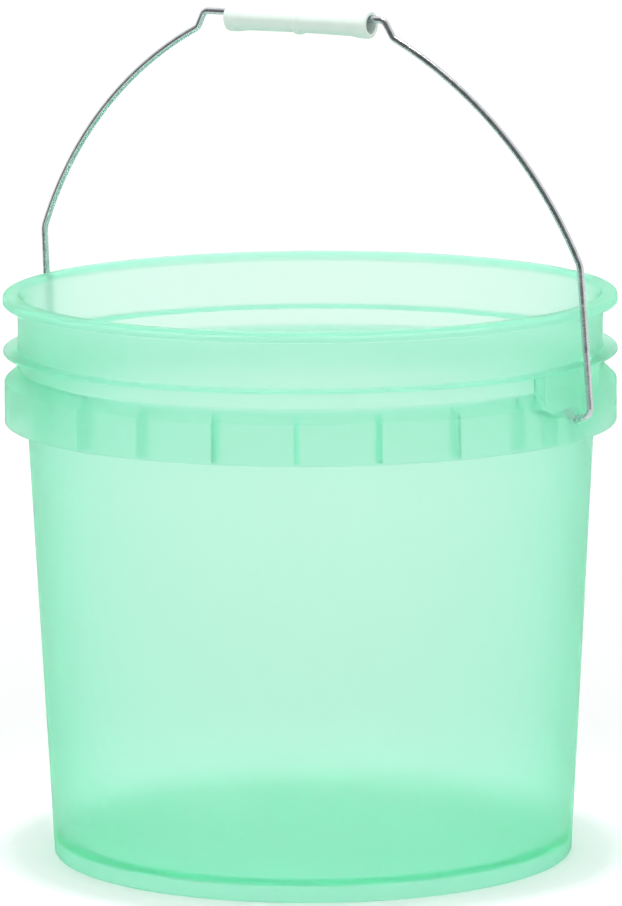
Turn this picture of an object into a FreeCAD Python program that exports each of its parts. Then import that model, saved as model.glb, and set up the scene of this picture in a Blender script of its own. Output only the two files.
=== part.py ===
import FreeCAD, Part
import math
import os
import Sketcher

# A 13 litre (3.5 US gallon) open wash bucket: one injection-moulded pail, one bent wire
# bail and one tubular plastic grip that turns on the wire.
# Frame: origin at the centre of the foot ring's resting plane, +Z up, the bail's pivot axis along X.

doc = FreeCAD.newDocument("WashBucket")

# ---------------------------------------------------------------- driving dimensions (mm, degrees)
SIZES = {
    # pail wall, foot and floor
    "pail_height": 282.0,
    "wall": 2.0,
    "foot_radius": 129.7,
    "foot_wall": 2.4,
    "taper": 0.0515,
    "floor_top": 10.2,
    "floor_thickness": 2.4,
    "floor_crown": 0.8,
    # neck, rolled rim lip and lid-stop fin
    "neck_radius": 145.2,
    "rim_radius": 152.5,
    "lip_height": 5.2,
    "lip_wall": 2.4,
    "mouth_flare": 1.6,
    "mouth_depth": 3.5,
    "fin_height": 252.4,
    "fin_root": 2.0,
    "fin_tip": 1.3,
    # ribbed collar
    "shoulder_height": 244.8,
    "shoulder_drop": 6.4,
    "shoulder_wall": 2.4,
    "step_drop": 8.2,
    "skirt_radius": 152.1,
    "skirt_wall": 1.8,
    "skirt_bottom": 217.7,
    "ribs_per_side": 11,
    "rib_pitch": 15.43,
    "first_rib": 11.3,
    "rib_thickness": 1.8,
    # bail ears: hollow pockets in the collar, wide above the shoulder and narrow below it
    "ear_width": 53.0,
    "ear_neck_width": 28.6,
    "ear_wall": 2.0,
    "hole_radius": 3.0,
    "pivot_height": 229.2,
    # wire bail, as a bending table from the ear hole upwards
    "wire_radius": 1.7,
    "hook_slope": 20.0,
    "hook_inside": 1.6,
    "hook_radius": 3.0,
    "hook_turn": 110.0,
    "hook_tip": 2.8,
    "hook_outside": 4.2,
    "ankle_radius": 4.6,
    "leg_lean": 1.6,
    "leg_length": 67.9,
    "knee_radius": 12.0,
    "knee_turn": 21.5,
    "arch_radius": 210.0,
    "arch_turn": 39.8,
    "jog_radius": 4.0,
    "jog_slope": 62.0,
    "jog_length": 6.0,
    "bail_lean": 5.1,
    "bail_shift": 2.0,
    # grip
    "grip_length": 82.0,
    "grip_offset": 3.7,
    "grip_end_radius": 7.0,
    "grip_end_length": 6.0,
    "grip_flare": 5.0,
    "grip_shank_radius": 6.2,
    "grip_waist_radius": 5.9,
    "grip_ring_radius": 6.8,
    "grip_ring_width": 2.6,
    "grip_bore_radius": 4.5,
    "grip_play": 0.3,
}

sheet = doc.addObject("Spreadsheet::Sheet", "Sheet")
for row, (alias, value) in enumerate(SIZES.items(), start=1):
    sheet.set(f"A{row}", alias)
    sheet.set(f"B{row}", str(value))
    sheet.setAlias(f"B{row}", alias)
doc.recompute()


def size(alias):
    """A driving dimension, read back from the sheet."""
    return float(getattr(sheet, alias))


def evaluate(expression):
    """The value of an expression over the sheet's cells."""
    return float(sheet.evalExpression(expression))


# ---------------------------------------------------------------- sketch helpers
def origin_plane(body, role):
    return next(f for f in body.Origin.OriginFeatures if f.Role == role)


def new_sketch(body, name, role, offset=None):
    sketch = body.newObject("Sketcher::SketchObject", name)
    sketch.AttachmentSupport = [(origin_plane(body, role), "")]
    sketch.MapMode = "FlatFace"
    if offset is not None:
        sketch.AttachmentOffset = offset
    return sketch


def pin_point(sketch, geometry, x_expression, y_expression):
    """Fixes a line's start point at (x, y), each bound to the sheet, or to an axis where it is zero."""
    for kind, axis, expression in (("DistanceX", -2, x_expression), ("DistanceY", -1, y_expression)):
        value = evaluate(expression)
        if abs(value) < 1e-9:
            sketch.addConstraint(Sketcher.Constraint("PointOnObject", geometry, 1, axis))
            continue
        index = sketch.addConstraint(Sketcher.Constraint(kind, -1, 1, geometry, 1, value))
        sketch.setExpression(f"Constraints[{index}]", expression)


def polygon_sketch(body, name, role, corners, offset=None):
    """A closed outline whose corners are pairs of expressions over the sheet."""
    sketch = new_sketch(body, name, role, offset)
    places = [FreeCAD.Vector(evaluate(x), evaluate(y), 0) for x, y in corners]
    count = len(places)
    for i in range(count):
        sketch.addGeometry(Part.LineSegment(places[i], places[(i + 1) % count]), False)
    for i in range(count):
        sketch.addConstraint(Sketcher.Constraint("Coincident", i, 2, (i + 1) % count, 1))
    for i, (x, y) in enumerate(corners):
        pin_point(sketch, i, x, y)
    return sketch


def circle_sketch(body, name, role, y_expression, radius_expression, offset=None):
    """A circle centred on the sketch's vertical axis."""
    sketch = new_sketch(body, name, role, offset)
    height = evaluate(y_expression)
    centre = FreeCAD.Vector(0, height, 0)
    circle = Part.Circle(centre, FreeCAD.Vector(0, 0, 1), evaluate(radius_expression))
    sketch.addGeometry(circle, False)
    sketch.addConstraint(Sketcher.Constraint("PointOnObject", 0, 3, -2))
    index = sketch.addConstraint(Sketcher.Constraint("DistanceY", -1, 1, 0, 3, height))
    sketch.setExpression(f"Constraints[{index}]", y_expression)
    index = sketch.addConstraint(Sketcher.Constraint("Radius", 0, evaluate(radius_expression)))
    sketch.setExpression(f"Constraints[{index}]", radius_expression)
    return sketch


# ---------------------------------------------------------------- feature helpers
def revolve(body, name, sketch, kind="PartDesign::Revolution", axis="V_Axis", sweep=None):
    """Turns a sketch about one of its axes: all the way, or by sweep degrees, half each side."""
    feature = body.newObject(kind, name)
    feature.Profile = sketch
    feature.ReferenceAxis = (sketch, [axis])
    feature.Angle = 360
    if sweep is not None:
        feature.Midplane = True
        feature.setExpression("Angle", sweep)
    sketch.Visibility = False
    doc.recompute()
    return feature


def repeat_round(body, name, features, count, span="360"):
    """Repeats features round the pail's axis, evenly over the span from the first to the last."""
    pattern = body.newObject("PartDesign::PolarPattern", name)
    pattern.Originals = features
    pattern.Axis = (origin_plane(body, "Z_Axis"), [""])
    pattern.setExpression("Angle", span)
    pattern.setExpression("Occurrences", count)
    body.Tip = pattern
    doc.recompute()
    return pattern


def ring_edges(shape, rings, slack=0.02):
    """Names of the full circles round Z at each (radius, height)."""
    names = []
    for i, edge in enumerate(shape.Edges, start=1):
        if not isinstance(edge.Curve, Part.Circle):
            continue
        centre = edge.Curve.Center
        for radius, height in rings:
            same_size = abs(edge.Curve.Radius - radius) < slack
            on_axis = math.hypot(centre.x, centre.y) < slack
            if same_size and on_axis and abs(centre.z - height) < slack:
                names.append(f"Edge{i}")
                break
    return names


def round_rings(body, name, rings, radius):
    """Fillets the circles at the given (radius, height) pairs, each pair two expressions."""
    base = body.Tip
    places = [(evaluate(r), evaluate(z)) for r, z in rings]
    fillet = body.newObject("PartDesign::Fillet", name)
    fillet.Base = (base, ring_edges(base.Shape, places))
    fillet.Radius = radius
    doc.recompute()
    return fillet


# ---------------------------------------------------------------- pail
BODY_R = "(foot_radius + taper * ({z}))"


def named(expression):
    """Puts the sheet's name before each alias in an expression."""
    out = expression
    for alias in sorted(SIZES, key=len, reverse=True):
        out = out.replace(alias, f"@{list(SIZES).index(alias)}@")
    for i, alias in enumerate(SIZES):
        out = out.replace(f"@{i}@", f"Sheet.{alias}")
    return out


def named_pairs(pairs):
    return [(named(a), named(b)) for a, b in pairs]


def body_radius(z):
    """Outside radius of the tapered body at height z, as an expression."""
    return BODY_R.format(z=z)


STEP_Z = "(shoulder_height - step_drop)"
LIP_UNDER = "pail_height - lip_height"
LIP_CEILING = "pail_height - lip_wall"
FIN_UNDER = "fin_height"
SKIRT_IN = "skirt_radius - skirt_wall"
CEILING = "shoulder_height - shoulder_wall"
SKIRT_CORNER = "shoulder_height - shoulder_drop"

SHELL = named_pairs([
    ("foot_radius - foot_wall", "0"),
    ("foot_radius", "0"),
    (body_radius(STEP_Z), STEP_Z),
    ("neck_radius - 0.2", CEILING),
    (SKIRT_IN, f"{SKIRT_CORNER} - 1"),
    (SKIRT_IN, "skirt_bottom"),
    ("skirt_radius", "skirt_bottom"),
    ("skirt_radius", SKIRT_CORNER),
    ("neck_radius", "shoulder_height"),
    ("neck_radius", FIN_UNDER),
    ("rim_radius", f"{FIN_UNDER} + (fin_root - fin_tip) / 2"),
    ("rim_radius", f"{FIN_UNDER} + (fin_root + fin_tip) / 2"),
    ("neck_radius", f"{FIN_UNDER} + fin_root"),
    ("neck_radius", LIP_CEILING),
    ("rim_radius - lip_wall", LIP_CEILING),
    ("rim_radius - lip_wall", LIP_UNDER),
    ("rim_radius", LIP_UNDER),
    ("rim_radius", "pail_height"),
    ("neck_radius - wall + mouth_flare", "pail_height"),
    ("neck_radius - wall", "pail_height - mouth_depth"),
    ("neck_radius - wall", "shoulder_height - 1.6"),
    (f"{body_radius(STEP_Z)} - wall", f"{STEP_Z} + 1"),
    (f"{body_radius('floor_top')} - foot_wall", "floor_top"),
    ("0", "floor_top + floor_crown"),
    ("0", "floor_top - floor_thickness + floor_crown"),
    (f"{body_radius('floor_top')} - foot_wall - 0.4", "floor_top - floor_thickness"),
])

# The hollow between wall and skirt, reaching a little into both so that a rib fuses with them.
HOLLOW = named_pairs([
    (f"{body_radius('skirt_bottom')} - wall / 2", "skirt_bottom"),
    (f"{body_radius(STEP_Z)} - wall / 2", STEP_Z),
    ("neck_radius - wall / 2", f"{CEILING} + shoulder_wall / 3"),
    (f"{SKIRT_IN} + skirt_wall / 2", f"{SKIRT_CORNER} - 0.4"),
    (f"{SKIRT_IN} + skirt_wall / 2", "skirt_bottom"),
])

# An ear's head stands on the shoulder and reaches the fin; its neck runs down inside the skirt.
EAR_HEAD = named_pairs([
    (f"{body_radius(STEP_Z)} - wall / 2", STEP_Z),
    ("neck_radius - wall / 2", "shoulder_height"),
    ("neck_radius - wall / 2", "fin_height + fin_root / 2"),
    ("skirt_radius", "fin_height + fin_root / 2"),
    ("skirt_radius", STEP_Z),
])
EAR_NECK = named_pairs([
    (f"{body_radius('skirt_bottom')} - wall / 2", "skirt_bottom"),
    (f"{body_radius(STEP_Z)} - wall / 2", STEP_Z),
    ("neck_radius - wall / 2", CEILING),
    ("skirt_radius - skirt_wall / 2", CEILING),
    ("skirt_radius - skirt_wall / 2", "skirt_bottom"),
])
HEAD_POCKET = named_pairs([
    (f"{body_radius(STEP_Z)} + 1", f"{STEP_Z} + ear_wall"),
    ("neck_radius", CEILING),
    ("neck_radius", "fin_height - 0.5"),
    ("skirt_radius - ear_wall", "fin_height - 0.5"),
    ("skirt_radius - ear_wall", f"{STEP_Z} + ear_wall"),
])
NECK_POCKET = named_pairs([
    (body_radius("skirt_bottom - 5"), "skirt_bottom - 5"),
    (body_radius(STEP_Z), STEP_Z),
    ("neck_radius", CEILING),
    ("skirt_radius - ear_wall", CEILING),
    ("skirt_radius - ear_wall", "skirt_bottom - 5"),
])



def sweep_of(width):
    """Angle in degrees that a width takes up round the skirt."""
    return named(f"({width}) / skirt_radius * 180 / pi")


def make_pail():
    pail = doc.addObject("PartDesign::Body", "pail")
    pail.Label = "pail"
    revolve(pail, "pail_shell", polygon_sketch(pail, "shell_outline", "XZ_Plane", SHELL))
    add_ribs(pail, "left", size("first_rib"))
    add_ribs(pail, "right", size("first_rib") + 180)
    add_ear_feature(pail, "ear_head", EAR_HEAD, "ear_width")
    add_ear_feature(pail, "ear_neck", EAR_NECK, "ear_neck_width")
    add_ear_feature(pail, "head_pocket", HEAD_POCKET, "ear_width - 2 * ear_wall", cut=True)
    add_ear_feature(pail, "neck_pocket", NECK_POCKET, "ear_neck_width - 2 * ear_wall", cut=True)
    add_bail_holes(pail)
    round_pail(pail)
    return pail


def add_ribs(pail, side, first):
    """The ribs of one side of the collar, from one ear round to the other."""
    turn = FreeCAD.Rotation(FreeCAD.Vector(0, 1, 0), first)
    outline = polygon_sketch(pail, f"{side}_rib_outline", "XZ_Plane", HOLLOW,
                             FreeCAD.Placement(FreeCAD.Vector(), turn))
    rib = revolve(pail, f"{side}_rib", outline, sweep=sweep_of("rib_thickness"))
    span = named("rib_pitch * (ribs_per_side - 1)")
    repeat_round(pail, f"{side}_ribs", [rib], "Sheet.ribs_per_side", span)


def add_ear_feature(pail, name, corners, width, cut=False):
    """Adds or cuts one outline, swept to a width round the skirt, on both ears."""
    kind = "PartDesign::Groove" if cut else "PartDesign::Revolution"
    outline = polygon_sketch(pail, f"{name}_outline", "XZ_Plane", corners)
    feature = revolve(pail, name, outline, kind=kind, sweep=sweep_of(width))
    repeat_round(pail, f"{name}s", [feature], "2")


def along_x(distance):
    """Moves a sketch on the YZ plane outwards along X."""
    return FreeCAD.Placement(FreeCAD.Vector(0, 0, distance), FreeCAD.Rotation())


def add_bail_holes(pail):
    """A round hole through the middle of each ear's panel."""
    outside = FreeCAD.Placement(FreeCAD.Vector(0, 0, size("skirt_radius") + 1), FreeCAD.Rotation())
    hole = pail.newObject("PartDesign::Pocket", "bail_hole")
    hole.Profile = circle_sketch(pail, "hole_circle", "YZ_Plane", "Sheet.pivot_height",
                                 "Sheet.hole_radius", outside)
    hole.setExpression("Length", "Sheet.ear_wall + 3")
    doc.recompute()
    repeat_round(pail, "bail_holes", [hole], "2")


def round_pail(pail):
    """Radii of the mould: rim lip, floor corner and foot."""
    round_rings(pail, "rim_rounding", named_pairs([("rim_radius", "pail_height")]), 2.3)
    round_rings(pail, "lip_edge_rounding", named_pairs([("rim_radius", LIP_UNDER)]), 1.1)
    mouth = named_pairs([("neck_radius - wall + mouth_flare", "pail_height")])
    round_rings(pail, "mouth_rounding", mouth, 0.8)
    corner = named_pairs([(f"{body_radius('floor_top')} - foot_wall", "floor_top")])
    round_rings(pail, "floor_rounding", corner, 5.0)
    round_rings(pail, "foot_rounding", named_pairs([("foot_radius", "0")]), 1.2)


# ---------------------------------------------------------------- wire bail
class WirePath:
    """A wire's centreline in the XZ plane, grown by straights and bends from a start and heading."""

    def __init__(self, x, z, heading):
        self.x, self.z, self.heading = x, z, math.radians(heading)
        self.edges = []

    def place(self):
        return FreeCAD.Vector(self.x, 0, self.z)

    def straight(self, length):
        start = self.place()
        self.x += length * math.cos(self.heading)
        self.z += length * math.sin(self.heading)
        self.edges.append(Part.LineSegment(start, self.place()).toShape())

    def bend(self, radius, turn):
        """Turns left by turn degrees, or right where it is negative."""
        side = math.copysign(1, turn)
        centre_x = self.x - side * radius * math.sin(self.heading)
        centre_z = self.z + side * radius * math.cos(self.heading)
        start = self.place()
        headings = (self.heading + math.radians(turn) / 2, self.heading + math.radians(turn))
        points = [FreeCAD.Vector(centre_x + side * radius * math.sin(a), 0,
                                 centre_z - side * radius * math.cos(a)) for a in headings]
        self.edges.append(Part.Arc(start, points[0], points[1]).toShape())
        self.x, self.z, self.heading = points[1].x, points[1].z, headings[1]


def hole_reach():
    """Distance from the pail's axis to the middle of the ear's wall at the hole."""
    return size("skirt_radius") - size("ear_wall") / 2


def half_bail_path():
    """The +X half: from the ear hole up to the middle of the grip, then from the hole inwards."""
    slope = size("hook_slope")
    lean = 90 + size("leg_lean")
    path = WirePath(hole_reach(), 0, slope)
    path.straight(size("hook_outside"))
    path.bend(size("ankle_radius"), lean - slope)
    path.straight(size("leg_length"))
    path.bend(size("knee_radius"), size("knee_turn"))
    path.bend(size("arch_radius"), size("arch_turn"))
    arch_end = lean + size("knee_turn") + size("arch_turn")
    path.bend(size("jog_radius"), 180 - size("jog_slope") - arch_end)
    path.straight(size("jog_length"))
    path.bend(size("jog_radius"), size("jog_slope"))
    path.straight(path.x)
    inner = WirePath(hole_reach(), 0, 180 + slope)
    inner.straight(size("hook_inside"))
    inner.bend(size("hook_radius"), -size("hook_turn"))
    inner.straight(size("hook_tip"))
    return path, inner


def make_bail():
    path, inner = half_bail_path()
    half = Part.Wire(Part.__sortEdges__(inner.edges + path.edges))
    other = half.mirror(FreeCAD.Vector(), FreeCAD.Vector(1, 0, 0))
    wire = Part.Wire(Part.__sortEdges__(half.Edges + other.Edges))
    spine = doc.addObject("Part::Feature", "bail_centreline")
    spine.Shape = wire
    circle = doc.addObject("Part::Circle", "wire_section")
    circle.setExpression("Radius", "Sheet.wire_radius")
    first = wire.OrderedEdges[0]
    start = first.firstVertex(True)
    tangent = first.tangentAt(first.ParameterRange[0] if first.Orientation == "Forward"
                              else first.ParameterRange[1])
    turn = FreeCAD.Rotation(FreeCAD.Vector(0, 0, 1), tangent)
    circle.Placement = FreeCAD.Placement(start.Point, turn)
    doc.recompute()
    bail = doc.addObject("Part::Sweep", "bail")
    bail.Label = "bail"
    bail.Sections = [circle]
    bail.Spine = (spine, [f"Edge{i}" for i in range(1, len(wire.Edges) + 1)])
    bail.Solid = True
    bail.Frenet = False
    bail.Transition = "Right corner"
    doc.recompute()
    return bail, path.z


# ---------------------------------------------------------------- grip
def grip_outline():
    """Half section of the grip above its own axis, symmetric about its middle ring."""
    half = [
        ("grip_length / 2", "grip_end_radius"),
        ("grip_length / 2 - grip_end_length", "grip_end_radius"),
        ("grip_length / 2 - grip_end_length - grip_flare", "grip_shank_radius"),
        ("grip_ring_width", "grip_waist_radius"),
        ("grip_ring_width / 2", "grip_ring_radius"),
    ]
    right = [("grip_length / 2", "grip_bore_radius")] + half
    left = [(f"-({x})", y) for x, y in reversed(right)]
    return named_pairs(right + left)


def make_grip():
    grip = doc.addObject("PartDesign::Body", "grip")
    grip.Label = "grip"
    sketch = polygon_sketch(grip, "grip_outline", "XZ_Plane", grip_outline())
    revolve(grip, "grip_tube", sketch, axis="H_Axis")
    tube = grip.Tip
    ends = []
    for i, edge in enumerate(tube.Shape.Edges, start=1):
        if isinstance(edge.Curve, Part.Circle):
            at_end = abs(abs(edge.Curve.Center.x) - size("grip_length") / 2) < 0.01
            if at_end and edge.Curve.Radius > size("grip_bore_radius") + 1:
                ends.append(f"Edge{i}")
    rounding = grip.newObject("PartDesign::Fillet", "grip_end_rounding")
    rounding.Base = (tube, ends)
    rounding.Radius = 1.6
    doc.recompute()
    return grip


# ---------------------------------------------------------------- build, place, check, export
pail = make_pail()
bail, bail_top = make_bail()
grip = make_grip()

swing = FreeCAD.Rotation(FreeCAD.Vector(1, 0, 0), size("bail_lean"))
pivot = FreeCAD.Vector(size("bail_shift"), 0, size("pivot_height"))
bail.Placement = FreeCAD.Placement(pivot, swing)
hang = size("grip_bore_radius") - size("wire_radius") - size("grip_play")
grip_middle = FreeCAD.Vector(size("grip_offset"), 0, bail_top - hang)
grip.Placement = FreeCAD.Placement(pivot + swing.multVec(grip_middle), swing)
doc.recompute()

for item in doc.Objects:
    if "Invalid" in item.State or "Error" in item.State:
        raise RuntimeError(f"{item.Name} failed: {item.State}")
for item in (pail, bail, grip):
    shape = item.Shape
    if shape.isNull() or not shape.isValid() or len(shape.Solids) != 1 or shape.Volume <= 0:
        raise RuntimeError(f"{item.Label} has no valid single solid")

os.makedirs("parts", exist_ok=True)
for item in (pail, bail, grip):
    item.Shape.exportStep(f"parts/{item.Label}.step")
    print(item.Label, round(item.Shape.Volume / 1000, 2), "cm3", item.Shape.BoundBox)
print("bail top above pivot", round(bail_top, 2), "grip centre", grip.Placement.Base)
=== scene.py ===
import math

import bmesh
import bpy
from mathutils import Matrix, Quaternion, Vector


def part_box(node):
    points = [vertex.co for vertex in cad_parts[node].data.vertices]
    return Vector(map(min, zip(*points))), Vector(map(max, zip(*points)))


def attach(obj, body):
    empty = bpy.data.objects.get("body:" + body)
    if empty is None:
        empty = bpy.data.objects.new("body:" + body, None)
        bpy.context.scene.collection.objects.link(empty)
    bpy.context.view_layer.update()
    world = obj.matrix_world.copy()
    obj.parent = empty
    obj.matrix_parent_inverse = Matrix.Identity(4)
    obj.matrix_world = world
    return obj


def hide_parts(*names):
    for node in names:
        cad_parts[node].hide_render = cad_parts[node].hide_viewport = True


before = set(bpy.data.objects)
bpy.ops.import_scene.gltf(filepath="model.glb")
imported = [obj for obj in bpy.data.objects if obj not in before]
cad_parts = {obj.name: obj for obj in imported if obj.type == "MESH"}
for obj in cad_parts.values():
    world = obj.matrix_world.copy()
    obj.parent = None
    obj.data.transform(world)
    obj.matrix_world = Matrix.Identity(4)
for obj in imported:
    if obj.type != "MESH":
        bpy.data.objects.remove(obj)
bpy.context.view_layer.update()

# ---------------------------------------------------------------------------------------------
# Pail moulding
# One shot of translucent mint polypropylene, about 2 mm thick all over: foot ring, recessed
# floor, tapered wall, collar skirt, lid-stop fin and a hollow rolled rim, with two ears in it.
# ---------------------------------------------------------------------------------------------
MM = 0.001
FOOT_RADIUS = 129.7
WALL_SLOPE = 0.0515
RIM_RADIUS = 152.5
RIM_TOP = 282.0
NECK_RADIUS = 145.2
WALL = 2.0
MOUTH_FLARE = 1.6
MOUTH_DEPTH = 3.5
FIN_UNDER = 252.4
FIN_THICKNESS = 2.0
FIN_TAPER = 0.35
LIP_DEPTH = 5.2
LIP_WALL = 2.4
SHOULDER_TOP = 244.8
SKIRT_OUTER = 152.1
SKIRT_INNER = 150.3
SKIRT_CORNER = 238.4
SKIRT_FOOT = 217.7
STEP = 236.6
CEILING = 242.4
FLOOR_TOP = 10.2
FLOOR_CROWN = 0.8
FLOOR_WALL = 2.4
CROWN_RADIUS = 60
GATE_RADIUS = 9
PIVOT_HEIGHT = 229.2
HOLE_RADIUS = 3.0
HOLE_EDGE = 0.35
PATCH_HALF = 4.6
PATCH_STEPS = 8
EAR_HEAD_HALF = 26.5
EAR_NECK_HALF = 14.3
EAR_WALL = 2.0
SHELF_HIGH = 236.0
SHELF_LOW = 231.0
SHELF_THICKNESS = 1.6
EDGE_STEPS = 5
FOOT_STEPS = 3
TURN_STEP = 1.25
TINY = 1e-6


def wall_radius(height):
    """Outside radius of the tapered wall, in millimetres."""
    return FOOT_RADIUS + WALL_SLOPE * height


def fillet(before, corner, after, radius, steps):
    """Points of an arc that rounds a corner of an outline."""
    into = (before - corner).normalized()
    out = (after - corner).normalized()
    half = into.angle(out) / 2
    run = min(radius / math.tan(half), 0.49 * (before - corner).length,
              0.49 * (after - corner).length)
    start = corner + into * run
    end = corner + out * run
    centre = corner + (into + out).normalized() * (run / math.cos(half))
    first = start - centre
    turn = first.angle_signed(end - centre)
    points = []
    for k in range(steps + 1):
        angle = -turn * k / steps
        cosine, sine = math.cos(angle), math.sin(angle)
        points.append(centre + Vector((first.x * cosine - first.y * sine,
                                       first.x * sine + first.y * cosine)))
    return points


def rounded_outline(corners):
    """A closed outline with each corner rounded, and the point number that each name fell on.

    A corner is (r, z, radius of the rounding, steps in it, name or None)."""
    points, names = [], {}
    for k, (r, z, radius, steps, name) in enumerate(corners):
        corner = Vector((r, z))
        if name:
            names[name] = len(points)
        if radius:
            before = Vector(corners[k - 1][:2])
            after = Vector(corners[(k + 1) % len(corners)][:2])
            points.extend(fillet(before, corner, after, radius, steps))
        else:
            points.append(corner)
    return points, names


patch_heights = [PIVOT_HEIGHT + PATCH_HALF * (2 * k / PATCH_STEPS - 1)
                 for k in range(PATCH_STEPS + 1)]
shoulder_slope = (SHOULDER_TOP - SKIRT_CORNER) / (SKIRT_OUTER - NECK_RADIUS)
fin_slope = FIN_TAPER / (RIM_RADIUS - NECK_RADIUS)
shelf_under = SHELF_HIGH - SHELF_THICKNESS
fin_top = FIN_UNDER + FIN_THICKNESS
lip_foot = RIM_TOP - LIP_DEPTH
lip_ceiling = RIM_TOP - LIP_WALL
bore = NECK_RADIUS - WALL

wall_corners = [
    (FOOT_RADIUS, 0, 1.2, 5, None),
    (wall_radius(SKIRT_FOOT), SKIRT_FOOT, 0, 0, "wall_low"),
    (wall_radius(shelf_under), shelf_under, 0, 0, "wall_under"),
    (wall_radius(SHELF_HIGH), SHELF_HIGH, 0, 0, "wall_over"),
    (wall_radius(STEP), STEP, 0, 0, "wall_step"),
    (NECK_RADIUS - 0.2, CEILING, 0, 0, "neck_under"),
    (NECK_RADIUS, SHOULDER_TOP, 0, 0, "neck_over"),
    (NECK_RADIUS, FIN_UNDER, 0, 0, "fin_root"),
    (SKIRT_INNER, FIN_UNDER + fin_slope * (SKIRT_INNER - NECK_RADIUS), 0, 0, "fin_inner"),
    (SKIRT_OUTER, FIN_UNDER + fin_slope * (SKIRT_OUTER - NECK_RADIUS), 0, 0, "fin_outer"),
    (RIM_RADIUS, FIN_UNDER + FIN_TAPER, 0.15, 1, None),
    (RIM_RADIUS, fin_top - FIN_TAPER, 0.45, 3, None),
    (NECK_RADIUS, fin_top, 0.6, 3, None),
    (NECK_RADIUS, lip_ceiling, 1.2, 4, None),
    (RIM_RADIUS - LIP_WALL, lip_ceiling, 1.2, 4, None),
    (RIM_RADIUS - LIP_WALL, lip_foot, 0.7, 3, None),
    (RIM_RADIUS, lip_foot, 0.9, 4, None),
    (RIM_RADIUS, RIM_TOP, 2.3, 8, None),
    (bore + MOUTH_FLARE, RIM_TOP, 1.0, 5, None),
    (bore, RIM_TOP - MOUTH_DEPTH, 4.0, 5, None),
    (bore, SHOULDER_TOP - 1.6, 2.5, 4, None),
    (wall_radius(STEP) - WALL, STEP + 1, 2.5, 4, None),
    (wall_radius(FLOOR_TOP) - FLOOR_WALL, FLOOR_TOP, 5.0, 8, None),
    (CROWN_RADIUS, FLOOR_TOP + 0.5, 0, 0, None),
    (GATE_RADIUS, FLOOR_TOP + FLOOR_CROWN, 0, 0, None),
    (0, FLOOR_TOP + FLOOR_CROWN, 0, 0, None),
    (0, FLOOR_TOP - 2.0, 0, 0, None),
    (2.2, FLOOR_TOP - 2.0, 0.3, 2, None),
    (2.8, FLOOR_TOP - 0.9, 0.3, 2, None),
    (GATE_RADIUS, FLOOR_TOP - 0.9, 0.6, 3, None),
    (GATE_RADIUS + 2, FLOOR_TOP - 1.65, 0.6, 3, None),
    (CROWN_RADIUS, FLOOR_TOP - 1.9, 0, 0, None),
    (wall_radius(FLOOR_TOP) - 2.8, FLOOR_TOP - FLOOR_WALL, 1.0, 4, None),
    (FOOT_RADIUS - 2.4, 0, 0.6, 3, None),
]
points, place = rounded_outline(wall_corners)
wall_loop = list(range(len(points)))


def add_points(corners):
    """Adds an open run of rounded corners to the shared outline points."""
    run, names = rounded_outline(corners)
    start = len(points)
    points.extend(run)
    place.update({name: start + k for name, k in names.items()})
    return [start + k for k in range(len(run))]


skirt_run = add_points(
    [(SKIRT_INNER, SKIRT_CORNER - 1, 0, 0, "skirt_under"),
     (SKIRT_INNER, SKIRT_CORNER + shoulder_slope * (SKIRT_OUTER - SKIRT_INNER), 0, 0, "skirt_over"),
     (SKIRT_OUTER, SKIRT_CORNER, 1.6, EDGE_STEPS, "shoulder_edge")]
    + [(SKIRT_OUTER, z, 0, 0, f"outer_{k}") for k, z in reversed(list(enumerate(patch_heights)))]
    + [(SKIRT_OUTER, SKIRT_FOOT, 0.5, 3, None),
       (SKIRT_INNER, SKIRT_FOOT, 0.4, FOOT_STEPS, "skirt_foot_inner")]
    + [(SKIRT_INNER, z, 0, 0, f"inner_{k}") for k, z in enumerate(patch_heights)]
    + [(SKIRT_INNER, shelf_under, 0, 0, "skirt_shelf_under"),
       (SKIRT_INNER, SHELF_HIGH, 0, 0, "skirt_shelf_over")])


def run_between(loop, first, last):
    """Point numbers along a loop from one named point to another, both included."""
    a, b = loop.index(place[first]), loop.index(place[last])
    return loop[a:b + 1] if b >= a else loop[a:] + loop[:b + 1]


# Closed cells of the section, and which of them are solid in each part of the collar's turn.
edge_arc = [place["shoulder_edge"] + k for k in range(EDGE_STEPS + 1)]
skirt_inner_low = run_between(skirt_run, "skirt_foot_inner", "skirt_shelf_under")[FOOT_STEPS:]
CELLS = {
    "wall": wall_loop,
    "skirt": skirt_run,
    "shoulder": [place[n] for n in ("neck_over", "skirt_over", "skirt_under", "neck_under")],
    "panel": [place["skirt_over"]] + edge_arc + [place["fin_outer"], place["fin_inner"]],
    "head": [place[n] for n in ("neck_over", "skirt_over", "fin_inner", "fin_root")],
    "cavity": [place[n] for n in ("neck_under", "skirt_under", "skirt_shelf_over", "wall_over",
                                  "wall_step")],
    "shelf": [place[n] for n in ("wall_over", "skirt_shelf_over", "skirt_shelf_under",
                                 "wall_under")],
    "neck_rib": skirt_inner_low + [place["wall_under"], place["wall_low"]],
}
SECTIONS = {
    "collar": {"wall", "skirt", "shoulder"},
    "head_side": {"wall", "skirt", "shoulder", "panel", "head", "cavity", "shelf"},
    "head_pocket": {"wall", "skirt", "panel", "shelf"},
    "neck_side": {"wall", "skirt", "panel", "shelf", "neck_rib"},
    "pocket": {"wall", "skirt", "panel"},
}
per_mm = math.degrees(1 / SKIRT_OUTER)
head_out, head_in = EAR_HEAD_HALF * per_mm, (EAR_HEAD_HALF - EAR_WALL) * per_mm
neck_out, neck_in = EAR_NECK_HALF * per_mm, (EAR_NECK_HALF - EAR_WALL) * per_mm
patch_angle = PATCH_HALF * per_mm


def off_ear(angle):
    """Degrees from an angle round the pail to the middle of the nearest ear."""
    return min(angle % 180, 180 - angle % 180)


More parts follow.
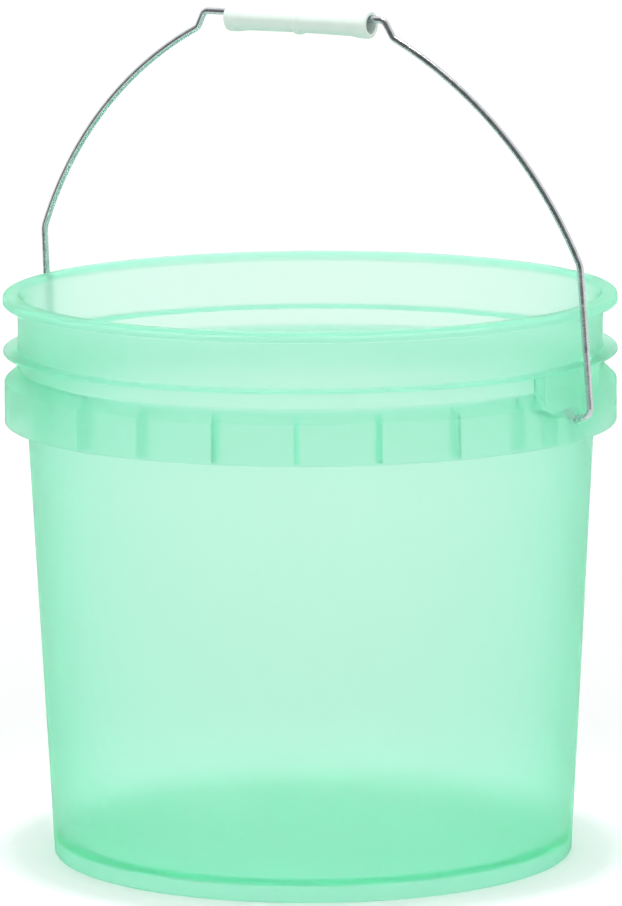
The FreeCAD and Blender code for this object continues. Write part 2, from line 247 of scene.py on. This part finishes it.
def section_at(angle):
    """Which section the collar has at an angle in degrees from the nearest ear."""
    for limit, name in ((neck_in, "pocket"), (neck_out, "neck_side"), (head_in, "head_pocket"),
                        (head_out, "head_side")):
        if angle < limit:
            return name
    return "collar"


def shelf_height(angle):
    """Top of the slanting wall that narrows an ear's pocket from its head to its neck."""
    if angle < neck_in - 0.01:
        return SHELF_HIGH
    share = min(max((angle - neck_out) / (head_in - neck_out), 0), 1)
    return SHELF_LOW + (SHELF_HIGH - SHELF_LOW) * share


def ear_angles():
    """Angles of the mesh's radial cuts from one ear's middle round to the next, in degrees."""
    stops = [0, patch_angle, neck_in, neck_out, head_in, head_out, 180 - head_out]
    cuts = []
    for a, b in zip(stops, stops[1:]):
        steps = PATCH_STEPS // 2 if b == patch_angle else max(1, round((b - a) / TURN_STEP))
        cuts.extend(a + (b - a) * k / steps for k in range(steps))
    cuts.append(180 - head_out)
    mirrored = [180 - c for c in cuts if 0 < c < head_out - TINY]
    return cuts + sorted(mirrored)


def mesh_data(name, draft):
    """Turns a draft mesh into mesh data, and frees the draft."""
    data = bpy.data.meshes.new(name)
    draft.to_mesh(data)
    draft.free()
    return data


half_turn = ear_angles()
cuts = half_turn + [a + 180 for a in half_turn]
mesh = bmesh.new()
poles = {}
rings = []
for angle in cuts:
    top = shelf_height(off_ear(angle))
    moved = {"wall_over": top, "skirt_shelf_over": top,
             "wall_under": top - SHELF_THICKNESS, "skirt_shelf_under": top - SHELF_THICKNESS}
    heights = {place[name]: z for name, z in moved.items()}
    cosine, sine = math.cos(math.radians(angle)), math.sin(math.radians(angle))
    ring = []
    for k, (r, z) in enumerate(points):
        if k in heights:
            z = heights[k]
            r = wall_radius(z) if r < SKIRT_INNER - 1 else r
        if r < TINY:
            if k not in poles:
                poles[k] = mesh.verts.new((0, 0, z * MM))
            ring.append(poles[k])
        else:
            ring.append(mesh.verts.new((r * cosine * MM, r * sine * MM, z * MM)))
    rings.append(ring)


def skin_edges(section):
    """Outline edges that face the air in one section."""
    used = {}
    for cell in SECTIONS[section]:
        loop = CELLS[cell]
        for a, b in zip(loop, loop[1:] + loop[:1]):
            key = (min(a, b), max(a, b))
            used[key] = used.get(key, 0) + 1
    return [key for key, count in used.items() if count == 1]


patch_rows = {"outer": [place[f"outer_{k}"] for k in range(PATCH_STEPS + 1)],
              "inner": [place[f"inner_{k}"] for k in range(PATCH_STEPS + 1)]}
patch_edges = {(min(a, b), max(a, b)) for rows in patch_rows.values()
               for a, b in zip(rows, rows[1:])}
middles = [off_ear((a + b) / 2) for a, b in zip(cuts, cuts[1:] + [360])]
names = [section_at(middle) for middle in middles]
skins = {name: skin_edges(name) for name in SECTIONS}
for k, name in enumerate(names):
    here, there = rings[k], rings[(k + 1) % len(rings)]
    at_hole = middles[k] < patch_angle
    for a, b in skins[name]:
        if at_hole and (a, b) in patch_edges:
            continue
        corners = []
        for vertex in (here[a], here[b], there[b], there[a]):
            if vertex not in corners:
                corners.append(vertex)
        if len(corners) > 2:
            mesh.faces.new(corners)
    before = names[k - 1]
    for cell in SECTIONS[name] ^ SECTIONS[before]:
        mesh.faces.new([rings[k][p] for p in CELLS[cell]])

# The round bail holes, each in a square patch that is left open in the skirt's two faces.
half_columns = PATCH_STEPS // 2
for centre in (0, len(half_turn)):
    tube = {}
    for side, radius, inward in (("outer", SKIRT_OUTER, -1), ("inner", SKIRT_INNER, 1)):
        rows = patch_rows[side]
        columns = [(centre + k) % len(cuts) for k in range(-half_columns, half_columns + 1)]
        border = [rings[c][rows[0]] for c in columns]
        border += [rings[columns[-1]][row] for row in rows[1:]]
        border += [rings[c][rows[-1]] for c in reversed(columns[:-1])]
        border += [rings[columns[0]][row] for row in reversed(rows[1:-1])]
        facing = 1 if centre == 0 else -1
        loops = [border]
        for hole, depth in ((HOLE_RADIUS + HOLE_EDGE, 0), (HOLE_RADIUS + 0.1, HOLE_EDGE * 0.3),
                            (HOLE_RADIUS, HOLE_EDGE)):
            loop = []
            for vertex in border:
                around = math.atan2(vertex.co.z - PIVOT_HEIGHT * MM, vertex.co.y)
                y = hole * math.cos(around)
                x = math.sqrt(radius ** 2 - y ** 2) + inward * depth
                loop.append(mesh.verts.new((facing * x * MM, y * MM,
                                            (PIVOT_HEIGHT + hole * math.sin(around)) * MM)))
            loops.append(loop)
        for outside, inside in zip(loops, loops[1:]):
            for a in range(len(border)):
                b = (a + 1) % len(border)
                mesh.faces.new([outside[a], outside[b], inside[b], inside[a]])
        tube[side] = loops[-1]
    for a in range(len(border)):
        b = (a + 1) % len(border)
        mesh.faces.new([tube["outer"][a], tube["outer"][b], tube["inner"][b], tube["inner"][a]])

bmesh.ops.recalc_face_normals(mesh, faces=mesh.faces)
open_edges = [e for e in mesh.edges if len(e.link_faces) != 2]
if open_edges:
    raise RuntimeError(f"the pail's skin has {len(open_edges)} open or shared edges")
shell_data = mesh_data("pail_shell", mesh)


def node_tree(name, kind, inputs, outputs):
    """A new node tree with (label, kind, value) inputs and (label, kind) outputs, and its ends."""
    tree = bpy.data.node_groups.new(name, kind)
    for label, socket_kind, value in inputs:
        socket = tree.interface.new_socket(label, in_out="INPUT", socket_type=socket_kind)
        if value is not None:
            socket.default_value = value
    for label, socket_kind in outputs:
        tree.interface.new_socket(label, in_out="OUTPUT", socket_type=socket_kind)
    return tree, tree.nodes.new("NodeGroupInput"), tree.nodes.new("NodeGroupOutput")


def shape_tree(name, sizes):
    """A new Geometry Nodes tree that takes a shape, the named sizes and a material."""
    return node_tree(name, "GeometryNodeTree",
                     [("Geometry", "NodeSocketGeometry", None), *sizes,
                      ("Material", "NodeSocketMaterial", None)],
                     [("Geometry", "NodeSocketGeometry")])


def add_node(tree, kind, links=(), **settings):
    """A node with its settings made, and its inputs joined to sockets or given plain values."""
    node = tree.nodes.new(kind)
    for key, value in settings.items():
        setattr(node, key, value)
    for socket, source in dict(links).items():
        target = node.inputs[socket]
        if isinstance(source, bpy.types.NodeSocket):
            tree.links.new(source, target)
        else:
            target.default_value = source
    return node


def run_tree(data, name, tree, values):
    """Puts a mesh through a node tree with the named input values, as a new plain object."""
    draft = bpy.data.objects.new(name + "_draft", data)
    bpy.context.scene.collection.objects.link(draft)
    modifier = draft.modifiers.new("Nodes", "NODES")
    modifier.node_group = tree
    for socket in tree.interface.items_tree:
        if socket.in_out == "INPUT" and socket.name in values:
            modifier[socket.identifier] = values[socket.name]
    draft.update_tag()
    bpy.context.view_layer.update()
    graph = bpy.context.evaluated_depsgraph_get()
    plain = bpy.data.meshes.new_from_object(draft.evaluated_get(graph))
    plain.name = name
    # A grid in a tree leaves an empty slot before the material's own, so the slots are made anew.
    plain.materials.clear()
    plain.materials.append(values["Material"])
    bpy.data.objects.remove(draft)
    made = bpy.data.objects.new(name, plain)
    bpy.context.scene.collection.objects.link(made)
    return made


def finish_tree(tree, given, result, geometry, degrees):
    """Ends a tree: smooth shading with edges over an angle left sharp, one mesh, its material."""
    angle = add_node(tree, "GeometryNodeInputMeshEdgeAngle")
    sharp = add_node(tree, "FunctionNodeCompare", {"A": angle.outputs["Unsigned Angle"],
                                                   "B": math.radians(degrees)},
                     operation="GREATER_THAN")
    faces = add_node(tree, "GeometryNodeSetShadeSmooth", {"Geometry": geometry,
                                                          "Shade Smooth": True})
    edges = add_node(tree, "GeometryNodeSetShadeSmooth",
                     {"Geometry": faces.outputs[0], "Selection": sharp.outputs[0],
                      "Shade Smooth": False}, domain="EDGE")
    real = add_node(tree, "GeometryNodeRealizeInstances", {"Geometry": edges.outputs[0]})
    coated = add_node(tree, "GeometryNodeSetMaterial", {"Geometry": real.outputs[0],
                                                        "Material": given.outputs["Material"]})
    tree.links.new(coated.outputs[0], result.inputs[0])


def math_node(tree, operation, *values):
    """The output of a Math node with the given sockets or numbers as its inputs."""
    return add_node(tree, "ShaderNodeMath", dict(enumerate(values)),
                    operation=operation).outputs[0]


RIB_THICKNESS = 1.8
RIBS_PER_SIDE = 11
RIB_PITCH = 15.43
FIRST_RIB = 11.3
RIB_BITE = 0.8

rib_outline = [
    (wall_radius(SKIRT_FOOT) - RIB_BITE, SKIRT_FOOT + 0.4),
    (SKIRT_INNER + RIB_BITE, SKIRT_FOOT + 0.9),
    (SKIRT_INNER + RIB_BITE, SKIRT_CORNER - 0.6),
    (NECK_RADIUS - 0.4, CEILING + RIB_BITE),
    (wall_radius(STEP) - RIB_BITE, STEP + 0.3),
]
mesh = bmesh.new()
near, far = [[mesh.verts.new((r * MM, offset * MM, z * MM)) for r, z in rib_outline]
             for offset in (-RIB_THICKNESS / 2, RIB_THICKNESS / 2)]
for a in range(len(rib_outline)):
    b = (a + 1) % len(rib_outline)
    mesh.faces.new([near[a], near[b], far[b], far[a]])
mesh.faces.new(near)
mesh.faces.new(far)
bmesh.ops.recalc_face_normals(mesh, faces=mesh.faces)
rib = bpy.data.objects.new("rib", mesh_data("rib", mesh))
bpy.context.scene.collection.objects.link(rib)

tree, given, result = shape_tree("Collar ribs", [
    ("Rib", "NodeSocketObject", None), ("Ribs per side", "NodeSocketInt", 11),
    ("Pitch", "NodeSocketFloat", 0.27), ("First rib", "NodeSocketFloat", 0.2)])
per_side = given.outputs["Ribs per side"]
blank = add_node(tree, "GeometryNodeObjectInfo", {"Object": given.outputs["Rib"]})
stations = add_node(tree, "GeometryNodePoints",
                    {"Count": math_node(tree, "MULTIPLY", per_side, 2.0)})
index = add_node(tree, "GeometryNodeInputIndex").outputs[0]
side = math_node(tree, "FLOOR", math_node(tree, "DIVIDE", index, per_side))
along = math_node(tree, "MODULO", index, per_side)
turn = math_node(tree, "MULTIPLY_ADD", along, given.outputs["Pitch"], given.outputs["First rib"])
turn = math_node(tree, "MULTIPLY_ADD", side, math.pi, turn)
rotation = add_node(tree, "ShaderNodeCombineXYZ", {"Z": turn})
placed = add_node(tree, "GeometryNodeInstanceOnPoints",
                  {"Points": stations.outputs[0], "Instance": blank.outputs["Geometry"],
                   "Rotation": rotation.outputs[0]})
real = add_node(tree, "GeometryNodeRealizeInstances", {"Geometry": placed.outputs[0]})
joined = add_node(tree, "GeometryNodeMeshBoolean", operation="UNION", solver="MANIFOLD")
tree.links.new(real.outputs[0], joined.inputs["Mesh 2"])
tree.links.new(given.outputs["Geometry"], joined.inputs["Mesh 2"])
finish_tree(tree, given, result, joined.outputs["Mesh"], degrees=32)

# The unevenness of every finish: a soft cloud in tone and dullness, and a grain in the surface.
uneven_finish, given, result = node_tree(
    "Uneven finish", "ShaderNodeTree",
    [("Cloud scale", "NodeSocketFloat", 90.0), ("Cloud detail", "NodeSocketFloat", 3.0),
     ("Grain scale", "NodeSocketFloat", 900.0), ("Grain detail", "NodeSocketFloat", 3.0),
     ("Dark tone", "NodeSocketColor", (0.5, 0.5, 0.5, 1)),
     ("Light tone", "NodeSocketColor", (0.7, 0.7, 0.7, 1)),
     ("Least roughness", "NodeSocketFloat", 0.4), ("Most roughness", "NodeSocketFloat", 0.5),
     ("Bump strength", "NodeSocketFloat", 0.1), ("Bump depth", "NodeSocketFloat", 0.0002)],
    [("Tone", "NodeSocketColor"), ("Roughness", "NodeSocketFloat"), ("Normal", "NodeSocketVector")])
coordinates = add_node(uneven_finish, "ShaderNodeTexCoord")
cloud = add_node(uneven_finish, "ShaderNodeTexNoise", {
    "Vector": coordinates.outputs["Object"], "Scale": given.outputs["Cloud scale"],
    "Detail": given.outputs["Cloud detail"]})
grain = add_node(uneven_finish, "ShaderNodeTexNoise", {
    "Vector": coordinates.outputs["Object"], "Scale": given.outputs["Grain scale"],
    "Detail": given.outputs["Grain detail"]})
tone = add_node(uneven_finish, "ShaderNodeMix", {
    0: cloud.outputs["Fac"], 6: given.outputs["Dark tone"], 7: given.outputs["Light tone"]},
    data_type="RGBA")
dull = add_node(uneven_finish, "ShaderNodeMapRange", {
    "Value": cloud.outputs["Fac"], "From Min": 0.3, "From Max": 0.7,
    "To Min": given.outputs["Least roughness"], "To Max": given.outputs["Most roughness"]})
bump = add_node(uneven_finish, "ShaderNodeBump", {
    "Height": grain.outputs["Fac"], "Strength": given.outputs["Bump strength"],
    "Distance": given.outputs["Bump depth"]})
uneven_finish.links.new(tone.outputs[2], result.inputs["Tone"])
uneven_finish.links.new(dull.outputs[0], result.inputs["Roughness"])
uneven_finish.links.new(bump.outputs[0], result.inputs["Normal"])


def new_material(name, **surface_values):
    """A material with plain values on its shader's sockets, and its node tree and shader."""
    material = bpy.data.materials.new(name)
    material.use_nodes = True
    surface = material.node_tree.nodes["Principled BSDF"]
    for label, value in surface_values.items():
        surface.inputs[label.replace("_", " ")].default_value = value
    return material, material.node_tree, surface


def make_uneven(tree, surface, values):
    """Puts the uneven finish, with this material's values, on a shader's roughness and normal."""
    uneven = add_node(tree, "ShaderNodeGroup", values, node_tree=uneven_finish)
    tree.links.new(uneven.outputs["Roughness"], surface.inputs["Roughness"])
    tree.links.new(uneven.outputs["Normal"], surface.inputs["Normal"])
    return uneven.outputs["Tone"]


# Satin polypropylene: light passes through it, softly scattered by the fine mould texture, and
# takes on the dye's green with depth. The weak green glow is painted light: it stands for light
# that bounces inside it, and lifts the pail's shaded parts.
plastic, shader, surface = new_material(
    "mint_polypropylene", Base_Color=(0.84, 0.825, 0.82, 1), Emission_Color=(0.0, 1.0, 0.5, 1),
    Emission_Strength=0.065, Transmission_Weight=0.92, IOR=1.14, Subsurface_Weight=1.0,
    Subsurface_Radius=(1.0, 1.0, 1.0), Subsurface_Scale=0.004)
make_uneven(shader, surface, {
    "Cloud scale": 22.0, "Cloud detail": 2.0, "Grain scale": 900.0, "Grain detail": 3.0,
    "Least roughness": 0.36, "Most roughness": 0.44, "Bump strength": 0.05})
dye = add_node(shader, "ShaderNodeVolumeAbsorption", {"Color": (0.1, 1.0, 0.74, 1),
                                                      "Density": 88.0})
shader.links.new(dye.outputs[0], shader.nodes["Material Output"].inputs["Volume"])

pail = run_tree(shell_data, "pail_moulding", tree, {
    "Rib": rib, "Ribs per side": RIBS_PER_SIDE, "Pitch": math.radians(RIB_PITCH),
    "First rib": math.radians(FIRST_RIB), "Material": plastic})
bpy.data.objects.remove(rib)
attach(pail, "pail")
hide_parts("pail")

# ---------------------------------------------------------------------------------------------
# Bail
# One length of 3.4 mm drawn steel wire, zinc plated: hooked through an ear at each end, bent
# upright at the ankles, curved over and cranked at both ends of the straight run for the grip.
# ---------------------------------------------------------------------------------------------
WIRE_RADIUS = 1.7
HOOK_SLOPE = 20.0
HOOK_OUTSIDE = 4.2
HOOK_INSIDE = 1.6
HOOK_RADIUS = 3.0
HOOK_TURN = 110.0
HOOK_TIP = 2.8
ANKLE_RADIUS = 4.6
LEG_LEAN = 1.6
LEG_LENGTH = 67.9
KNEE_RADIUS = 12.0
KNEE_TURN = 21.5
ARCH_RADIUS = 210.0
ARCH_TURN = 39.8
JOG_RADIUS = 4.0
JOG_LENGTH = 6.0
JOG_SLOPE = 62.0
BAIL_LEAN = 5.1
BAIL_SHIFT = 2.0


class WireLine:
    """The wire's straight-line corners, with the radius that each is bent to."""

    def __init__(self, x, z, heading):
        self.at = Vector((x, z))
        self.heading = math.radians(heading)
        self.corners = []

    def ahead(self, distance):
        """Goes straight on."""
        self.at = self.at + Vector((math.cos(self.heading), math.sin(self.heading))) * distance

    def bend(self, radius, degrees):
        """Turns through an arc, anticlockwise when the angle is positive."""
        turn = math.radians(degrees)
        run = radius * math.tan(abs(turn) / 2)
        self.ahead(run)
        self.corners.append((self.at.x, self.at.y, radius))
        self.heading += turn
        self.ahead(run)


in_the_hole = SKIRT_OUTER - EAR_WALL / 2
upward = WireLine(in_the_hole, 0, HOOK_SLOPE)
upward.ahead(HOOK_OUTSIDE)
upward.bend(ANKLE_RADIUS, 90 + LEG_LEAN - HOOK_SLOPE)
upward.ahead(LEG_LENGTH)
upward.bend(KNEE_RADIUS, KNEE_TURN)
upward.bend(ARCH_RADIUS, ARCH_TURN)
upward.bend(JOG_RADIUS, 180 - JOG_SLOPE - (90 + LEG_LEAN + KNEE_TURN + ARCH_TURN))
upward.ahead(JOG_LENGTH)
upward.bend(JOG_RADIUS, JOG_SLOPE)
inward = WireLine(in_the_hole, 0, 180 + HOOK_SLOPE)
inward.ahead(HOOK_INSIDE)
inward.bend(HOOK_RADIUS, -HOOK_TURN)
inward.ahead(HOOK_TIP)
half = [(inward.at.x, inward.at.y, 0)] + inward.corners[::-1] + upward.corners
whole = half + [(-x, z, radius) for x, z, radius in reversed(half)]

mesh = bmesh.new()
radius_of = mesh.verts.layers.float.new("bend_radius")
line = []
for x, z, radius in whole:
    vertex = mesh.verts.new((x * MM, 0, z * MM))
    vertex[radius_of] = radius * MM
    line.append(vertex)
for a, b in zip(line, line[1:]):
    mesh.edges.new((a, b))

tree, given, result = shape_tree("Bent wire", [
    ("Wire radius", "NodeSocketFloat", 0.0017), ("Steps in a bend", "NodeSocketInt", 24),
    ("Sides", "NodeSocketInt", 32), ("Pivot", "NodeSocketVector", None),
    ("Lean", "NodeSocketFloat", 0.0)])
curve = add_node(tree, "GeometryNodeMeshToCurve", {"Mesh": given.outputs["Geometry"]})
radius = add_node(tree, "GeometryNodeInputNamedAttribute", {"Name": "bend_radius"},
                  data_type="FLOAT")
bent = add_node(tree, "GeometryNodeFilletCurve",
                {"Curve": curve.outputs[0], "Count": given.outputs["Steps in a bend"],
                 "Radius": radius.outputs["Attribute"]}, mode="POLY")
section = add_node(tree, "GeometryNodeCurvePrimitiveCircle",
                   {"Resolution": given.outputs["Sides"], "Radius": given.outputs["Wire radius"]})
tube = add_node(tree, "GeometryNodeCurveToMesh", {"Curve": bent.outputs[0],
                                                  "Profile Curve": section.outputs[0],
                                                  "Fill Caps": True})
lean = add_node(tree, "ShaderNodeCombineXYZ", {"X": given.outputs["Lean"]})
placed = add_node(tree, "GeometryNodeTransform", {"Geometry": tube.outputs[0],
                                                  "Translation": given.outputs["Pivot"],
                                                  "Rotation": lean.outputs[0]})
finish_tree(tree, given, result, placed.outputs[0], degrees=40)

# Bright zinc: its faint spangle shows in the tone, the dullness and the surface alike.
zinc, shader, surface = new_material("zinc_plated_wire", Metallic=1.0)
tone = make_uneven(shader, surface, {
    "Cloud scale": 260.0, "Cloud detail": 4.0, "Grain scale": 260.0, "Grain detail": 4.0,
    "Dark tone": (0.46, 0.5, 0.52, 1), "Light tone": (0.74, 0.76, 0.78, 1),
    "Least roughness": 0.18, "Most roughness": 0.32, "Bump strength": 0.08})
shader.links.new(tone, surface.inputs["Base Color"])

wire = run_tree(mesh_data("wire_line", mesh), "bail_wire", tree, {
    "Wire radius": WIRE_RADIUS * MM, "Lean": math.radians(BAIL_LEAN),
    "Pivot": (BAIL_SHIFT * MM, 0, PIVOT_HEIGHT * MM), "Material": zinc})
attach(wire, "bail")
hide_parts("bail")

# ---------------------------------------------------------------------------------------------
# Grip
# A tube of white polyethylene, moulded in one shot with flared ends and a small ring round its
# middle. It is threaded on the wire before the cranks are bent, and turns freely between them.
# ---------------------------------------------------------------------------------------------
GRIP_LENGTH = 82.0
GRIP_BORE = 4.5
GRIP_END = 7.0
GRIP_SHANK = 6.2
GRIP_WAIST = 5.9
GRIP_RING = 6.8
FLARE_LENGTH = 6.0
TAPER_LENGTH = 11.0

grip_half = [
    (GRIP_LENGTH / 2, GRIP_BORE, 0.5, 3, None),
    (GRIP_LENGTH / 2, GRIP_END, 1.6, 6, None),
    (GRIP_LENGTH / 2 - FLARE_LENGTH, GRIP_END, 3.0, 5, None),
    (GRIP_LENGTH / 2 - TAPER_LENGTH, GRIP_SHANK, 6.0, 5, None),
    (2.6, GRIP_WAIST, 0.5, 3, None),
    (1.3, GRIP_RING, 0.5, 3, None),
]
outline, _ = rounded_outline(
    grip_half + [(-x, *rounding) for x, *rounding in reversed(grip_half)])
mesh = bmesh.new()
for x, r in outline:
    mesh.verts.new((x * MM, r * MM, 0))

tree, given, result = shape_tree("Turned from an outline", [
    ("Segments", "NodeSocketInt", 96), ("Place", "NodeSocketVector", None),
    ("Lean", "NodeSocketFloat", 0.0)])
segments = given.outputs["Segments"]
size = add_node(tree, "GeometryNodeAttributeDomainSize", {0: given.outputs["Geometry"]})
rows = size.outputs["Point Count"]
along = math_node(tree, "ADD", rows, 1.0)
grid = add_node(tree, "GeometryNodeMeshGrid", {
    "Vertices X": math_node(tree, "ADD", segments, 1.0), "Vertices Y": along})
index = add_node(tree, "GeometryNodeInputIndex").outputs[0]
row = math_node(tree, "MODULO", math_node(tree, "MODULO", index, along), rows)
column = math_node(tree, "FLOOR", math_node(tree, "DIVIDE", index, along))
angle = math_node(tree, "MULTIPLY", math_node(tree, "DIVIDE", column, segments), 2 * math.pi)
position = add_node(tree, "GeometryNodeInputPosition")
sample = add_node(tree, "GeometryNodeSampleIndex",
                  {"Geometry": given.outputs["Geometry"], "Index": row},
                  data_type="FLOAT_VECTOR")
tree.links.new(position.outputs[0], sample.inputs["Value"])
turned = add_node(tree, "ShaderNodeVectorRotate", {"Vector": sample.outputs["Value"],
                                                   "Angle": angle}, rotation_type="X_AXIS")
moved = add_node(tree, "GeometryNodeSetPosition", {"Geometry": grid.outputs["Mesh"],
                                                   "Position": turned.outputs[0]})
closed = add_node(tree, "GeometryNodeMergeByDistance", {"Geometry": moved.outputs[0],
                                                        "Distance": 0.000001})
lean = add_node(tree, "ShaderNodeCombineXYZ", {"X": given.outputs["Lean"]})
placed = add_node(tree, "GeometryNodeTransform", {"Geometry": closed.outputs[0],
                                                  "Translation": given.outputs["Place"],
                                                  "Rotation": lean.outputs[0]})
finish_tree(tree, given, result, placed.outputs[0], degrees=40)

white, shader, surface = new_material("white_polyethylene")
tone = make_uneven(shader, surface, {
    "Cloud scale": 90.0, "Cloud detail": 3.0, "Grain scale": 1400.0, "Grain detail": 2.0,
    "Dark tone": (0.6, 0.71, 0.65, 1), "Light tone": (0.7, 0.79, 0.74, 1),
    "Least roughness": 0.4, "Most roughness": 0.5, "Bump strength": 0.15})
shader.links.new(tone, surface.inputs["Base Color"])

low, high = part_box("grip")
grip = run_tree(mesh_data("grip_outline", mesh), "grip_sleeve", tree, {
    "Place": (low + high) / 2, "Lean": math.radians(BAIL_LEAN), "Material": white})
mesh = bmesh.new()
mesh.from_mesh(grip.data)
bmesh.ops.recalc_face_normals(mesh, faces=mesh.faces)
mesh.to_mesh(grip.data)
mesh.free()
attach(grip, "grip")
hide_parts("grip")

# ---------------------------------------------------------------------------------------------
# Studio
# A disc of pale matt paper in an even white room, with one weak, narrow lamp overhead that puts
# a little light through the pail on to the paper round its foot.
# ---------------------------------------------------------------------------------------------
PAPER_RADIUS = 0.8
ROOM_BRIGHTNESS = 1.07
LAMP_HEIGHT = 1.7
LAMP_SIDE = 0.3
LAMP_POWER = 0.3
LAMP_SPREAD = 14.0

mesh = bmesh.new()
bmesh.ops.create_circle(mesh, cap_ends=True, segments=96, radius=PAPER_RADIUS)
floor_data = mesh_data("studio_floor", mesh)
floor = bpy.data.objects.new("studio_floor", floor_data)
bpy.context.scene.collection.objects.link(floor)
paper, shader, surface = new_material("pale_paper", Base_Color=(0.95, 0.95, 0.95, 1),
                                      Roughness=0.8)
floor_data.materials.append(paper)

world = bpy.data.worlds.new("studio")
bpy.context.scene.world = world
world.use_nodes = True
tree = world.node_tree
background = tree.nodes["Background"]
background.inputs["Color"].default_value = (1, 1, 1, 1)
# A dark wall in front and to the left, which only shiny things see, so that the wire has form.
DARK_WALL = (0.1, -0.99, 0.05)
room = add_node(tree, "ShaderNodeTexCoord")
facing = add_node(tree, "ShaderNodeVectorMath", {0: room.outputs["Generated"], 1: DARK_WALL},
                  operation="DOT_PRODUCT")
wall = add_node(tree, "ShaderNodeMapRange", {"Value": facing.outputs["Value"], "From Min": 0.1,
                                             "From Max": 0.6, "To Min": 1.0, "To Max": 0.12})
ray = add_node(tree, "ShaderNodeLightPath")
mirrored = add_node(tree, "ShaderNodeMath", {0: ray.outputs["Is Glossy Ray"],
                                             1: ray.outputs["Is Transmission Ray"]},
                    operation="SUBTRACT", use_clamp=True)
seen = add_node(tree, "ShaderNodeMix", {0: mirrored.outputs[0], 2: ROOM_BRIGHTNESS,
                                        3: wall.outputs[0]}, data_type="FLOAT")
tree.links.new(seen.outputs[0], background.inputs["Strength"])

lamp_data = bpy.data.lights.new("overhead", "AREA")
lamp_data.shape = "RECTANGLE"
lamp_data.size, lamp_data.size_y = LAMP_SIDE, LAMP_SIDE
lamp_data.energy = LAMP_POWER
lamp_data.spread = math.radians(LAMP_SPREAD)
lamp = bpy.data.objects.new("overhead", lamp_data)
lamp.location = (0, 0, LAMP_HEIGHT)
bpy.context.scene.collection.objects.link(lamp)

# The camera stands in front and to the right, a little above the rim, with a long lens.
VIEW_TURN = math.radians(32)
DISTANCE = 3.4257
VIEW_HEIGHT = 0.7508
PITCH = math.radians(9.133)
ROLL = -0.0056
LENS = 276.8
camera_data = bpy.data.cameras.new("camera")
camera_data.lens = LENS
camera = bpy.data.objects.new("camera", camera_data)
bpy.context.scene.collection.objects.link(camera)
camera.location = (DISTANCE * math.sin(VIEW_TURN), -DISTANCE * math.cos(VIEW_TURN), VIEW_HEIGHT)
looking = Vector((-math.sin(VIEW_TURN) * math.cos(PITCH), math.cos(VIEW_TURN) * math.cos(PITCH),
                  -math.sin(PITCH)))
camera.rotation_mode = "QUATERNION"
camera.rotation_quaternion = looking.to_track_quat("-Z", "Y") @ Quaternion((0, 0, 1), ROLL)
bpy.context.scene.camera = camera
bpy.context.scene.view_settings.view_transform = "Standard"
